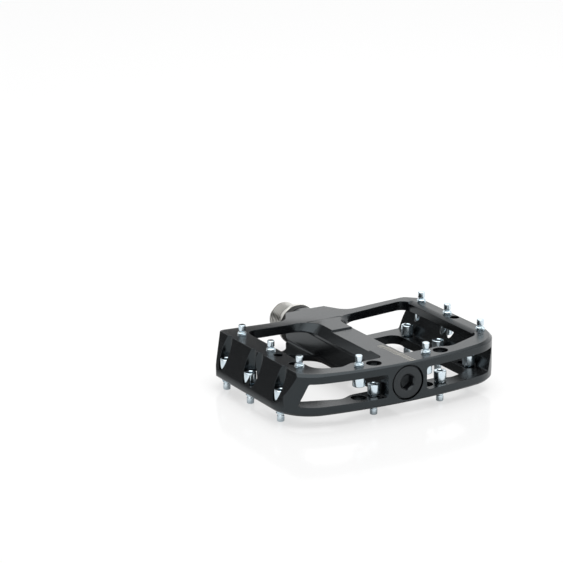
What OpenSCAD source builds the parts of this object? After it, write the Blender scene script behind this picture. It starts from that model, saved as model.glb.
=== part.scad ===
// Flat pedal for a right crank arm: machined platform on a spindle with a bush and two ball bearings.
// X runs outboard along the spindle from the crank face of its flange, Y runs forward, Z is up.

/* [Platform] */
// Width across both rails
platform_w = 106.4; // [98:0.2:116]
// Reach of the outboard edge from the crank face of the flange
platform_reach = 92.9; // [90:0.1:98]
// Thickness over both rails
rail_h = 18.6; // [17.8:0.1:21]
// Depth of the shallow dish across the platform
dish = 0.5; // [0.2:0.1:0.8]
// Thickness of the upper and the lower plate at the rails
plate_t = 4.3; // [3.8:0.1:4.6]
// How far the lip of a rail stands out past the opposite edge
lip = 5.6; // [4:0.1:6.5]
// Height of the upright edge of the lip
lip_t = 4; // [3:0.1:5]
// Thickness of the slanted rail web along Y
web_t = 5; // [4.5:0.1:5.6]
// Radius of the outboard edge seen from above
arch_r = 200; // [160:1:260]
// Radius of the outboard corners
corner_r = 19; // [14:0.5:20]
// Chamfer along the lips and the outboard edge, at the height of the rails
edge_chamfer = 1.3; // [0.9:0.1:1.8]
// Inboard edge of the bars where they meet the rails
bar_x = 15.8; // [14:0.1:17]
// How far the bars sweep outboard on their way to the spine
bar_sweep = 2.1; // [1:0.1:3]
// Corner cut at the inboard end of each rail
corner_cut = 6.6; // [6:0.1:9]
// Radius at the ends of a corner cut
corner_cut_r = 4; // [0.5:0.1:6]
// Radius where a bar runs into the nose
bar_fillet = 7; // [5:0.5:9]

/* [Windows] */
// Width of the plate along a rail on the ramp side
ramp_band = 9.2; // [8.6:0.1:10]
// Width of the plate along a rail on the lip side
lip_band = 8.4; // [7.8:0.1:9.4]
// Width of the bevel along that plate's inner edge
lip_bevel_w = 1.9; // [1:0.1:2.4]
// Fall of that bevel
lip_bevel_fall = 0.9; // [0.4:0.1:1.4]
// Width of an inboard bar on the ramp side
ramp_bar_w = 6.8; // [5:0.1:8]
// Width of an inboard bar on the lip side
lip_bar_w = 4; // [3.5:0.1:6]
// Width of the bars where they meet the spine
bar_root_w = 6.4; // [5:0.1:8]
// Width of the arch beside the end cap, where it holds the pins
arch_w = 11.5; // [11:0.1:12.5]
// How much the arch thins between its pins and a rail
arch_waist = 2.8; // [1:0.1:3.2]
// Distance of that waist from the middle
waist_y = 27; // [25.5:0.1:30]
// Length of the ease from the waist to the pins
waist_ease = 6; // [5:0.1:7]
// Radius at both ends of that ease
waist_r = 5; // [3:0.5:6]
// How far the arch widens again at a rail on the ramp side
ramp_corner_in = 0.8; // [0.4:0.1:2]
// How far the arch widens again at a rail on the lip side
lip_corner_in = 3.9; // [3:0.1:6.5]
// Radius of the outboard window corners on the ramp side
ramp_corner_r = 7; // [4:0.5:8]
// Radius of the other window corners at the rails
window_r = 4.5; // [3:0.1:5.5]
// Radius of the window corners at the nose
root_r = 9; // [6:0.5:10]
// Radius of the window corners at the end cap
boss_corner_r = 3.5; // [2:0.1:5]
// Radius of the slots at the slanted rails
slot_outer_r = 1; // [0.5:0.1:1.5]
// Radius of the slots at the spine
slot_inner_r = 1.5; // [0.5:0.1:2]

/* [Spine] */
// Width of the spine between the windows
spine_w = 16.7; // [16:0.1:19]
// Width of the flat on top of the spine
spine_flat = 10.2; // [9:0.1:12]
// Height of the upright sides of the spine
spine_side = 10.4; // [10:0.1:11]
// Step from the arch down to the spine
spine_step = 0.3; // [0.1:0.1:0.5]
// Depth of the shallow panel in the spine
panel_depth = 0.4; // [0.2:0.1:0.6]
// Inboard end of the panel
panel_x = 39.5; // [34:0.5:44]
// Length of the panel
panel_l = 31; // [25:0.5:36]
// Width of the block round the end cap, inside the slots
boss_w = 19; // [18:0.1:20]
// Length of that block along the spindle
boss_l = 8.6; // [7:0.1:10]
// Inboard end of the flats of the nose
nose_x = 7.8; // [7.5:0.1:10]
// Width of the nose at its end
nose_w = 19.6; // [18.6:0.1:21]
// Chamfer round the end of the nose
nose_chamfer = 0.8; // [0.4:0.1:1.2]
// How far the nose flares out on each side before its bars begin
nose_flare = 5.6; // [4:0.1:7]
// How far the bevels of the spine run over the bars
bevel_over_bar = 1; // [0.5:0.1:1.5]
// How far the bevels of the spine run into the arch
bevel_into_arch = 0.5; // [0.2:0.1:0.8]

/* [Pins] */
// Distance of the ramp row from the ramp's upper edge
ramp_row = 5.6; // [5:0.1:6.2]
// Distance of the lip row from the lip's edge
lip_row = 3.6; // [3.4:0.1:4.2]
// Places of the pins of the ramp row along the rail
ramp_pin_x = [26.5, 51.4, 75.2]; // [20:0.1:80]
// Places of the pins of the lip row along the rail
lip_pin_x = [26.2, 47, 72.7]; // [20:0.1:80]
// Places of the unused threaded holes of the ramp row
ramp_spare_x = [57.6, 70.4]; // [20:0.1:80]
// Place of the unused threaded hole of the lip row
lip_spare_x = 52.8; // [51.5:0.1:55]
// Distance of the arch pins from the outboard edge
arch_pin_inset = 6.6; // [6:0.1:7]
// Distance of the ramp side's arch pin from the middle
arch_pin_far = 20.1; // [19.5:0.1:21]
// Distance of the lip side's arch pin from the middle
arch_pin_near = 12.8; // [12.4:0.1:13]
// Height of a pin's tip above the platform
pin_out = 4.7; // [3:0.1:6]
// Diameter of a pin's thread
pin_thread_d = 4; // [3:0.1:4]
// Height of the thread's end above the platform
pin_thread_out = 1.3; // [0.6:0.1:1.6]
// Diameter of a pin's tip
pin_tip_d = 3.1; // [2.4:0.1:3.4]
// Depth of the neck between a pin's thread and its tip
pin_neck = 0.25; // [0.1:0.05:0.4]
// Diameter of a pin's head
pin_head_d = 5.3; // [4.8:0.1:5.6]
// Height of a pin's head
pin_head_h = 4.5; // [3:0.1:4.6]
// Width across the flats of the socket in a pin's head
pin_socket = 2.5; // [2:0.1:3]
// Depth of the socket in a pin's head
pin_socket_depth = 2.7; // [2:0.1:3]
// Gap left between a pin's head and the plate
pin_stand_off = 0.4; // [0.2:0.1:0.8]
// Radius of the scallops round the heads of the lip row
scallop_r = 3.4; // [3.3:0.05:3.7]
// Radius of those scallops where they meet the ramp's upper edge
key_notch_r = 2.95; // [2.4:0.05:3.2]
// Diameter of the key holes in the arch
key_hole_d = 6.5; // [6:0.1:6.8]

/* [Spindle] */
// Diameter of the crank thread, nine sixteenths of an inch
crank_thread_d = 14.288; // [12.7:0.001:14.6]
// Pitch of the crank thread, twenty turns to the inch
crank_thread_pitch = 1.27; // [1.1:0.01:1.4]
// Length of thread and neck on the crank side
crank_thread_l = 12.5; // [11:0.1:14]
// Length of the plain neck next to the flange
neck_l = 1.6; // [1.2:0.1:3]
// How far the flange stands out past the dust seal on each side
flange_lip = 0.3; // [0.1:0.1:0.6]
// Thickness of the flange
flange_t = 1.7; // [1.2:0.1:2.4]
// Diameter of the spindle inside the dust seal
collar_d = 12.4; // [11.4:0.1:12.8]
// Length of the step from that collar down to the journal
collar_step = 0.6; // [0.3:0.1:1]
// Diameter of the journal in the bush
journal_d = 10; // [9.4:0.1:10.6]
// Diameter of the spindle at the foot of its taper
taper_d = 7.6; // [7.2:0.1:7.8]
// Length of the shoulder at the foot of the taper
shoulder_l = 4; // [2:0.5:6]
// How far the spindle stands out past its lock nut
tail_l = 0.8; // [0.6:0.1:1.2]
// Gap between the end of the spindle and the end cap
tail_gap = 5; // [1:0.1:9]
// Width across the flats of the socket in the crank end
crank_socket = 8; // [6:0.1:8]
// Depth of the socket in the crank end
crank_socket_depth = 8; // [6:0.1:10]

/* [Bearings] */
// Length of the plain bush
bush_l = 15.5; // [12:0.1:20]
// Wall of the plain bush
bush_wall = 1; // [0.8:0.05:1.2]
// Bore of a bearing
bearing_bore = 6; // [5:0.1:6]
// Outside diameter of a bearing
bearing_od = 13; // [12.8:0.1:13.2]
// Width of a bearing
bearing_b = 5; // [4.6:0.1:5.1]
// Diameter of a ball
ball_d = 2.4; // [2.2:0.05:2.5]
// Number of balls in a bearing
ball_count = 8; // [6:1:8]
// Depth of the ball groove in a race
race_depth = 0.5; // [0.4:0.05:0.6]
// Wall of a ball cage
cage_t = 0.6; // [0.4:0.05:0.7]
// Width of a ball cage's rims
cage_rim = 0.4; // [0.3:0.05:0.5]
// Thickness of a bearing shield
shield_t = 0.25; // [0.15:0.05:0.3]
// How far a shield sits inside its bearing
shield_sink = 0.15; // [0.1:0.05:0.25]
// Width across the flats of the lock nut
nut_flats = 10; // [9:0.1:10.4]
// Height of the lock nut
nut_h = 4.6; // [4:0.1:5]
// Chamfer on the corners of the lock nut
nut_chamfer = 0.5; // [0.3:0.1:0.8]
// Thickness of the lock washer
washer_t = 1; // [0.6:0.1:1.2]

/* [End cap and seals] */
// Diameter of the end cap
cap_d = 15.2; // [14.8:0.1:15.4]
// Length of the end cap's thread
cap_l = 4.1; // [3.6:0.1:4.4]
// How far the end cap sits below the outboard edge
cap_sink = 0.4; // [0.2:0.1:0.6]
// Width across the flats of the end cap's socket
cap_socket = 6; // [5:0.1:7]
// Depth of the end cap's socket
cap_socket_depth = 4.2; // [2.5:0.1:4.4]
// Lead-in chamfer of the end cap's socket
cap_lead = 0.8; // [0.3:0.1:1]
// Width of the gap round the face of the end cap
cap_rim_gap = 0.7; // [0.2:0.05:0.9]
// Depth of that gap
cap_rim_depth = 1.2; // [0.8:0.1:1.6]
// Thickness of the end cap's sealing ring
o_ring_t = 1; // [0.8:0.05:1]
// How far the dust seal lies below the height of the rails
seal_inset = 0.3; // [0:0.1:0.6]
// Visible length of the dust seal
seal_l = 3; // [2.4:0.1:4.4]
// Length of the dust seal's spigot in the nose
seal_spigot_l = 2.2; // [1.6:0.1:2.8]
// Wall of that spigot
seal_spigot_t = 1.3; // [1:0.05:1.5]

/* [Fits] */
// Radial clearance of a running fit
running_gap = 0.03; // [0.02:0.01:0.06]
// Radial clearance of a seat
seat_gap = 0.02; // [0.01:0.01:0.04]
// Gap round the end cap
cap_gap = 0.05; // [0.03:0.01:0.1]
// Gap between the spindle's flange and the dust seal
flange_gap = 0.1; // [0.05:0.05:0.2]
// Clearance round the pieces that turn inside the body
inner_gap = 0.5; // [0.4:0.05:0.6]
// Small chamfer on the edges of turned pieces
edge_break = 0.3; // [0.2:0.05:0.4]

/* [Hidden] */
$fn = 64;
far = 2 * platform_w;
cut = 0.05;
sweep_lap = 10;

// Platform section
half_w = platform_w / 2;
rail_z = rail_h / 2;
deck_z = rail_z - dish;
plate_z = rail_z - plate_t;
ramp_y = half_w - lip;
ramp_slope = lip / (rail_h - lip_t);
dish_r = (ramp_y * ramp_y + dish * dish) / (2 * dish);
spine_z = deck_z - spine_step;
side_z = spine_side / 2;
spine_y = spine_w / 2;

// Outboard edge
arch_x = platform_reach - arch_r;
corner_y = half_w - corner_r;
corner_x = arch_x + sqrt(pow(arch_r - corner_r, 2) - corner_y * corner_y);
corner_turn = asin(corner_y / (arch_r - corner_r));

// Inboard edge
bar_root_x = bar_x + bar_sweep;
bar_root_y = nose_w / 2 + nose_flare;
root_x = bar_root_x + bar_root_w;
window_end = platform_reach - arch_w;

// Pin rows
ramp_row_y = ramp_y - ramp_row;
lip_row_y = half_w - lip_row;
arch_pin_x = platform_reach - arch_pin_inset;
pin_hole_d = pin_thread_d + 2 * seat_gap;
head_scallop_r = pin_head_d / 2 + inner_gap;

// Places along the spindle
seal_x = flange_t + flange_gap;
body_x = seal_x + seal_l;
spigot_end = body_x + seal_spigot_l;
bush_x = spigot_end + inner_gap;
bush_end = bush_x + bush_l;
cap_end = platform_reach - cap_sink;
cap_x = cap_end - cap_l;
cap_seat_x = cap_x - o_ring_t;
tail_x = cap_seat_x - tail_gap;
nut_end = tail_x - tail_l;
nut_x = nut_end - nut_h;
bearing_end = nut_x - washer_t;
bearing_x = bearing_end - 2 * bearing_b;

// Radii about the spindle
thread_r = crank_thread_d / 2;
thread_depth = 0.54 * crank_thread_pitch;
journal_r = journal_d / 2;
collar_r = collar_d / 2;
bush_r = journal_r + running_gap + bush_wall;
bearing_r = bearing_od / 2;
pitch_r = (bearing_bore + bearing_od) / 4;
ball_r = ball_d / 2;
outer_shoulder_r = pitch_r + ball_r - race_depth;
inner_shoulder_r = pitch_r - ball_r + race_depth;
seal_r = rail_z - seal_inset;
flange_r = seal_r + flange_lip;
spigot_r = collar_r + seal_spigot_t;
cap_r = cap_d / 2;
cap_bore_r = cap_r + cap_gap;
o_ring_r = cap_bore_r - o_ring_t / 2;

// Height of the dished deck at a distance from the middle
function deck_at(y) = min(rail_z, deck_z + dish_r - sqrt(dish_r * dish_r - y * y));

// Ramp face of the forward rail at a height
function ramp_at(z) = ramp_y + ramp_slope * (z + rail_z);

function unit(v) = v / norm(v);

// Points of the round that replaces corner p between neighbours a and b
function corner_round(a, p, b, r, steps) =
  let (
    u = unit(a - p),
    v = unit(b - p),
    half = acos(u * v) / 2,
    centre = p + unit(u + v) * r / sin(half),
    first = p + u * r / tan(half) - centre,
    last = p + v * r / tan(half) - centre,
    start = atan2(first[1], first[0]),
    turn = atan2(first[0] * last[1] - first[1] * last[0], first * last)
  )
  [for (i = [0:steps]) centre + r * [cos(start + turn * i / steps), sin(start + turn * i / steps)]];

// Outline from corners given as [x, y, radius]
function rounded(corners, steps = 8) = [
  for (i = [0:len(corners) - 1])
    let (
      n = len(corners),
      here = corners[i],
      before = corners[(i + n - 1) % n],
      after = corners[(i + 1) % n],
      p = [here[0], here[1]]
    )
    each here[2] == 0
      ? [p]
      : corner_round([before[0], before[1]], p, [after[0], after[1]], here[2], steps)
];

function flipped(points) = [for (i = [len(points) - 1:-1:0]) [points[i][0], -points[i][1]]];

// Forward half of the outline from the nose to the start of the outboard corner
corner_cut_points = [[bar_x, half_w - corner_cut], [bar_x + corner_cut, half_w]];
half_outline = concat(
  [[nose_x, nose_w / 2]],
  corner_round([nose_x, nose_w / 2], [bar_root_x, bar_root_y], corner_cut_points[0], bar_fillet, 8),
  corner_round([bar_root_x, bar_root_y], corner_cut_points[0], corner_cut_points[1], corner_cut_r, 4),
  corner_round(corner_cut_points[0], corner_cut_points[1], [corner_x, half_w], corner_cut_r, 4),
  [[corner_x, half_w], [corner_x, corner_y]]
);

// Window of the upper plate on the ramp side
ramp_window = [
  [bar_x + ramp_bar_w, -(ramp_y - ramp_band), window_r],
  [window_end - ramp_corner_in, -(ramp_y - ramp_band), ramp_corner_r],
  [window_end + arch_waist, -waist_y, waist_r],
  [window_end, waist_ease - waist_y, waist_r],
  [window_end, -spine_y, boss_corner_r],
  [root_x, -spine_y, root_r]
];

// Window of the upper plate on the lip side
lip_window = [
  [root_x, spine_y, root_r],
  [window_end, spine_y, boss_corner_r],
  [window_end, waist_y - waist_ease, waist_r],
  [window_end + arch_waist, waist_y, waist_r],
  [window_end - lip_corner_in, half_w - lip_band, window_r],
  [bar_x + lip_bar_w, half_w - lip_band, window_r]
];

// Draws its children as they are and turned half a turn about the spindle
module both_sides() {
  children();
  rotate([180, 0, 0]) children();
}

// Turns a profile of [radius, x] points about the spindle
module turned(profile) {
  rotate([0, 90, 0]) rotate_extrude() polygon(profile);
}

// Cylinder along the spindle
module along(r, from, to) {
  translate([from, 0, 0]) rotate([0, 90, 0]) cylinder(r = r, h = to - from);
}

// Extrudes a Y and Z outline along X
module ruled(points, from, to) {
  translate([from, 0, 0]) rotate([90, 0, 90]) linear_extrude(to - from) polygon(points);
}

// Hexagonal prism along the spindle
module hexagon(flats, from, to) {
  translate([from, 0, 0]) rotate([0, 90, 0]) cylinder(d = flats / cos(30), h = to - from, $fn = 6);
}

// Upright block with the outline of the platform seen from above and a chamfered outboard rim,
// whose corners are swept on into the straight part and into the arch
module outline_block() {
  translate([0, 0, -rail_h]) linear_extrude(2 * rail_h) polygon(concat(half_outline, flipped(half_outline)));
  for (side = [1, -1])
    translate([corner_x, side * corner_y, 0]) rotate([0, 0, (side > 0 ? corner_turn : -90) - sweep_lap])
      rotate_extrude(angle = 90 - corner_turn + 2 * sweep_lap) rim(corner_r, corner_r);
  translate([arch_x, 0, 0]) rotate([0, 0, -corner_turn])
    rotate_extrude(angle = 2 * corner_turn, $fn = 4 * $fn) rim(arch_r, 2 * corner_r);
}

// Section of the rim on an edge of radius r, w wide, taller than the rails
module rim(r, w) {
  foot = rail_z - edge_chamfer;
  top = rail_z + edge_chamfer;
  in = r + foot - top;
  polygon([[r - w, -top], [in, -top], [r, -foot], [r, foot], [in, top], [r - w, top]]);
}

// Block of the platform before any opening
module platform_blank() {
  intersection() {
    outline_block();
    ruled([
      [-ramp_y, rail_z], [half_w - edge_chamfer, rail_z],
      [half_w, rail_z - edge_chamfer], [half_w, rail_z - lip_t],
      [ramp_y, -rail_z], [edge_chamfer - half_w, -rail_z],
      [-half_w, edge_chamfer - rail_z], [-half_w, lip_t - rail_z]
    ], 0, far);
  }
  turned([
    [0, body_x], [seal_r - nose_chamfer, body_x], [seal_r, body_x + nose_chamfer], [seal_r, bar_x], [0, bar_x]
  ]);
}

// Shallow dish across the upper plate
module dish_cut() {
  strips = 20;
  curve = [for (i = [0:strips]) let (y = ramp_y * (2 * i / strips - 1)) [y, deck_at(y)]];
  ruled(concat(curve, [[ramp_y, rail_h], [-ramp_y, rail_h]]), 0, far);
}

// Space between the plates on the forward side, open at both ends
module slot() {
  outer = [
    [ramp_at(-plate_z) - web_t, -plate_z, slot_outer_r],
    [ramp_at(plate_z) - web_t, plate_z, slot_outer_r]
  ];
  for (end = [[spine_y, platform_reach - boss_l], [boss_w / 2, far]])
    ruled(rounded(concat(
      [[end[0], -plate_z, slot_inner_r]], outer, [[end[0], plate_z, slot_inner_r]]
    )), 0, end[1]);
}

// Opening of the upper plate, cut on into the rounds of the slot
module window(corners) {
  into_round = 2 / 3 * slot_inner_r;
  translate([0, 0, plate_z - into_round]) linear_extrude(rail_h) polygon(rounded(corners));
}

// Bevel along the edge where a window meets the spine, cut on to twice its height
module spine_bevel(side) {
  fall = spine_z - side_z;
  in = spine_y - spine_flat / 2;
  open_y = spine_y + spine_w;
  scale([1, side, 1]) hull() {
    translate([0, 0, side_z]) linear_extrude(cut) polygon(rounded([
      [root_x, spine_y, root_r], [window_end, spine_y, boss_corner_r], [window_end, open_y, 0], [root_x, open_y, 0]
    ]));
    translate([0, 0, side_z + 2 * fall]) linear_extrude(cut) polygon(rounded([
      [root_x - 2 * bevel_over_bar, spine_y - 2 * in, root_r],
      [window_end + 2 * bevel_into_arch, spine_y - 2 * in, boss_corner_r],
      [window_end, open_y, 0], [root_x, open_y, 0]
    ]));
  }
}

// Fall of the spine from the nose to the step at the arch
module spine_fall() {
  translate([0, spine_y, 0]) rotate([90, 0, 0]) linear_extrude(spine_w)
    polygon([[root_x, deck_z], [window_end, spine_z], [window_end, rail_h], [root_x, rail_h]]);
}

// Bevel along the edge where the lip's window meets its rail, between the rounds of the window,
// whose slope runs on below into the window and above the rail
module lip_bevel() {
  from = bar_x + lip_bar_w + window_r;
  to = window_end - lip_corner_in - window_r;
  in_y = half_w - lip_band - lip_bevel_w;
  rise = 3 * lip_bevel_fall;
  hull() {
    translate([from, in_y - cut, rail_z + lip_bevel_fall - rise]) cube([to - from, cut, rise]);
    translate([from - lip_bevel_w, in_y, rail_z + lip_bevel_fall])
      cube([to - from + 2 * lip_bevel_w, 3 * lip_bevel_w, cut]);
  }
}

// Cuts for the pins of the upper plate, their heads and the keys that turn them
module pin_cuts() {
  for (x = concat(ramp_pin_x, ramp_spare_x)) translate([x, -ramp_row_y, 0]) {
    cylinder(d = pin_hole_d, h = rail_h);
    cylinder(r = head_scallop_r, h = plate_z);
  }
  for (x = concat(lip_pin_x, [lip_spare_x])) translate([x, lip_row_y, 0]) {
    cylinder(d = pin_hole_d, h = rail_h);
    translate([0, 0, -rail_z]) cylinder(r1 = key_notch_r, r2 = scallop_r, h = rail_z + plate_z);
  }
  for (y = [-arch_pin_far, arch_pin_near]) translate([arch_pin_x, y, 0]) {
    cylinder(d = pin_hole_d, h = rail_h);
    mirror([0, 0, 1]) cylinder(d = key_hole_d, h = rail_h);
  }
}

// Stepped bore for the seal, the bush, the bearings and the end cap
module main_bore() {
  along(spigot_r + seat_gap, body_x - cut, bush_x);
  along(bush_r + seat_gap, body_x, bush_end);
  along(journal_r + inner_gap, bush_x, bearing_x + cut);
  along(bearing_r + seat_gap, bearing_x, cap_seat_x + cut);
  along(cap_bore_r, cap_seat_x, far);
}

module platform_body() {
  color([0.07, 0.07, 0.08])
  difference() {
    platform_blank();
    both_sides() {
      dish_cut();
      slot();
      window(ramp_window);
      window(lip_window);
      spine_fall();
      translate([panel_x, -spine_y, spine_z - panel_depth]) cube([panel_l, spine_w, rail_h]);
      spine_bevel(1);
      spine_bevel(-1);
      lip_bevel();
      pin_cuts();
    }
    main_bore();
  }
}

// Axle with the crank thread cut as rings, a flange, a collar, a journal, a taper and a tail
module spindle() {
  turns = floor((crank_thread_l - neck_l) / crank_thread_pitch);
  crest = 0.3 * crank_thread_pitch;
  flank = 0.25 * crank_thread_pitch;
  groove_r = thread_r - thread_depth;
  grooves = [
    for (i = [0:turns - 1]) let (x = -neck_l - (turns - i) * crank_thread_pitch)
      each [
        [thread_r, x], [thread_r, x + crest],
        [groove_r, x + crest + flank], [groove_r, x + crank_thread_pitch - flank]
      ]
  ];
  tail_r = bearing_bore / 2 - seat_gap;
  collar_end = spigot_end + running_gap;
  color([0.72, 0.72, 0.73])
  difference() {
    turned(concat(
      [[0, -crank_thread_l], [groove_r, -crank_thread_l]],
      grooves,
      [
        [thread_r, -neck_l], [thread_r, 0],
        [flange_r - edge_break, 0], [flange_r, edge_break], [flange_r, flange_t],
        [collar_r, flange_t], [collar_r, collar_end - collar_step], [journal_r, collar_end],
        [journal_r, bush_end + inner_gap], [taper_d / 2, bearing_x - shoulder_l], [taper_d / 2, bearing_x],
        [tail_r, bearing_x], [tail_r, tail_x - edge_break], [tail_r - edge_break, tail_x], [0, tail_x]
      ]
    ));
    hexagon(crank_socket, -crank_thread_l - cut, crank_socket_depth - crank_thread_l);
  }
}

module dust_seal() {
  lip_r = collar_r + 2 * running_gap;
  color([0.05, 0.05, 0.05])
  turned([
    [lip_r, seal_x], [seal_r - edge_break, seal_x], [seal_r, seal_x + edge_break],
    [seal_r, body_x], [spigot_r, body_x], [spigot_r, spigot_end], [lip_r, spigot_end]
  ]);
}

module plain_bush() {
  color([0.35, 0.34, 0.33])
  turned([
    [journal_r + running_gap, bush_x], [bush_r, bush_x], [bush_r, bush_end], [journal_r + running_gap, bush_end]
  ]);
}

// Groove that the balls run in
module race_groove(x) {
  translate([x + bearing_b / 2, 0, 0]) rotate([0, 90, 0])
    rotate_extrude() translate([pitch_r, 0]) circle(r = ball_r + running_gap);
}

module outer_race(x) {
  end = x + bearing_b;
  color([0.75, 0.75, 0.76])
  difference() {
    turned([[outer_shoulder_r, x], [bearing_r, x], [bearing_r, end], [outer_shoulder_r, end]]);
    race_groove(x);
  }
}

module inner_race(x) {
  end = x + bearing_b;
  bore_r = bearing_bore / 2;
  color([0.75, 0.75, 0.76])
  difference() {
    turned([[bore_r, x], [inner_shoulder_r, x], [inner_shoulder_r, end], [bore_r, end]]);
    race_groove(x);
  }
}

// Sets its children at each ball of a bearing
module at_balls(x) {
  for (i = [0:ball_count - 1])
    rotate([360 * i / ball_count, 0, 0]) translate([x + bearing_b / 2, 0, pitch_r]) children();
}

module ball_set(x) {
  color([0.8, 0.8, 0.82]) at_balls(x) sphere(r = ball_r);
}

module cage(x) {
  half_l = ball_r + cage_rim;
  half_t = cage_t / 2;
  color([0.62, 0.5, 0.28])
  difference() {
    translate([x + bearing_b / 2, 0, 0]) turned([
      [pitch_r - half_t, -half_l], [pitch_r + half_t, -half_l],
      [pitch_r + half_t, half_l], [pitch_r - half_t, half_l]
    ]);
    at_balls(x) cylinder(r = ball_r + running_gap, h = ball_d, center = true);
  }
}

module shields(x) {
  inside = inner_shoulder_r + 2 * running_gap;
  outside = outer_shoulder_r - seat_gap;
  color([0.12, 0.12, 0.12])
  for (at = [x + shield_sink, x + bearing_b - shield_sink - shield_t])
    turned([[inside, at], [outside, at], [outside, at + shield_t], [inside, at + shield_t]]);
}

module lock_washer() {
  bore_r = bearing_bore / 2;
  color([0.7, 0.7, 0.72])
  turned([
    [bore_r, bearing_end], [inner_shoulder_r, bearing_end], [inner_shoulder_r, nut_x], [bore_r, nut_x]
  ]);
}

module lock_nut() {
  corner = nut_flats / cos(30) / 2 + cut;
  round_r = corner - nut_chamfer;
  color([0.7, 0.7, 0.72])
  difference() {
    intersection() {
      hexagon(nut_flats, nut_x, nut_end);
      turned([
        [0, nut_x], [round_r, nut_x], [corner, nut_x + nut_chamfer],
        [corner, nut_end - nut_chamfer], [round_r, nut_end], [0, nut_end]
      ]);
    }
    along(bearing_bore / 2, nut_x - cut, nut_end + cut);
  }
}

module end_cap() {
  spigot = o_ring_r - o_ring_t / 2 - seat_gap;
  face_r = cap_bore_r - cap_rim_gap;
  rim_x = cap_end - cap_rim_depth;
  color([0.09, 0.09, 0.1])
  difference() {
    turned([
      [0, cap_seat_x], [spigot, cap_seat_x], [spigot, cap_x], [cap_r, cap_x], [cap_r, rim_x],
      [face_r, rim_x], [face_r, cap_end - edge_break], [face_r - edge_break, cap_end], [0, cap_end]
    ]);
    hexagon(cap_socket, cap_end - cap_socket_depth, cap_end + cut);
    turned([
      [0, cap_end - cap_lead], [cap_socket / 2, cap_end - cap_lead],
      [cap_socket / 2 + cap_lead + cut, cap_end + cut], [0, cap_end + cut]
    ]);
  }
}

module end_cap_o_ring() {
  color([0.04, 0.04, 0.04])
  translate([cap_x - o_ring_t / 2, 0, 0]) rotate([0, 90, 0])
    rotate_extrude() translate([o_ring_r, 0]) circle(d = o_ring_t - 2 * seat_gap);
}

// Traction pin that stands on the upper plate: tip, neck, thread and socket head
module pin(y) {
  grip = deck_at(y) - plate_z + pin_stand_off;
  foot = -grip - pin_head_h;
  shank_r = pin_thread_d / 2;
  tip_r = pin_tip_d / 2;
  neck_r = tip_r - pin_neck;
  head_r = pin_head_d / 2;
  translate([0, y, deck_at(y)])
  difference() {
    rotate_extrude() polygon([
      [0, foot], [head_r - edge_break, foot], [head_r, foot + edge_break],
      [head_r, -grip - edge_break], [head_r - edge_break, -grip], [shank_r, -grip],
      [shank_r, pin_thread_out - edge_break], [neck_r, pin_thread_out], [neck_r, pin_thread_out + edge_break],
      [tip_r, pin_thread_out + 2 * edge_break], [tip_r, pin_out - edge_break], [tip_r - edge_break, pin_out],
      [0, pin_out]
    ]);
    translate([0, 0, foot - cut]) cylinder(d = pin_socket / cos(30), h = pin_socket_depth + cut, $fn = 6);
  }
}

module ramp_pins() {
  color([0.8, 0.82, 0.84]) for (x = ramp_pin_x) translate([x, 0, 0]) pin(-ramp_row_y);
}

module lip_pins() {
  color([0.8, 0.82, 0.84]) for (x = lip_pin_x) translate([x, 0, 0]) pin(lip_row_y);
}

module arch_pins() {
  color([0.8, 0.82, 0.84]) for (y = [-arch_pin_far, arch_pin_near]) translate([arch_pin_x, 0, 0]) pin(y);
}

platform_body();
spindle();
dust_seal();
plain_bush();
outer_race(bearing_x);  // inboard_bearing_outer_race
inner_race(bearing_x);  // inboard_bearing_inner_race
ball_set(bearing_x);  // inboard_bearing_balls
cage(bearing_x);  // inboard_bearing_cage
shields(bearing_x);  // inboard_bearing_shields
outer_race(bearing_x + bearing_b);  // outboard_bearing_outer_race
inner_race(bearing_x + bearing_b);  // outboard_bearing_inner_race
ball_set(bearing_x + bearing_b);  // outboard_bearing_balls
cage(bearing_x + bearing_b);  // outboard_bearing_cage
shields(bearing_x + bearing_b);  // outboard_bearing_shields
lock_washer();
lock_nut();
end_cap();
end_cap_o_ring();
ramp_pins();  // ramp_pins_upper
lip_pins();  // lip_pins_upper
arch_pins();  // arch_pins_upper
rotate([180, 0, 0]) ramp_pins();  // ramp_pins_lower
rotate([180, 0, 0]) lip_pins();  // lip_pins_lower
rotate([180, 0, 0]) arch_pins();  // arch_pins_lower
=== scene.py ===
"""Flat pedal on a white sweep: black anodised platform, zinc plated pins, steel spindle."""
import math

import bmesh
import bpy
from mathutils import Matrix, Vector


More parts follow.
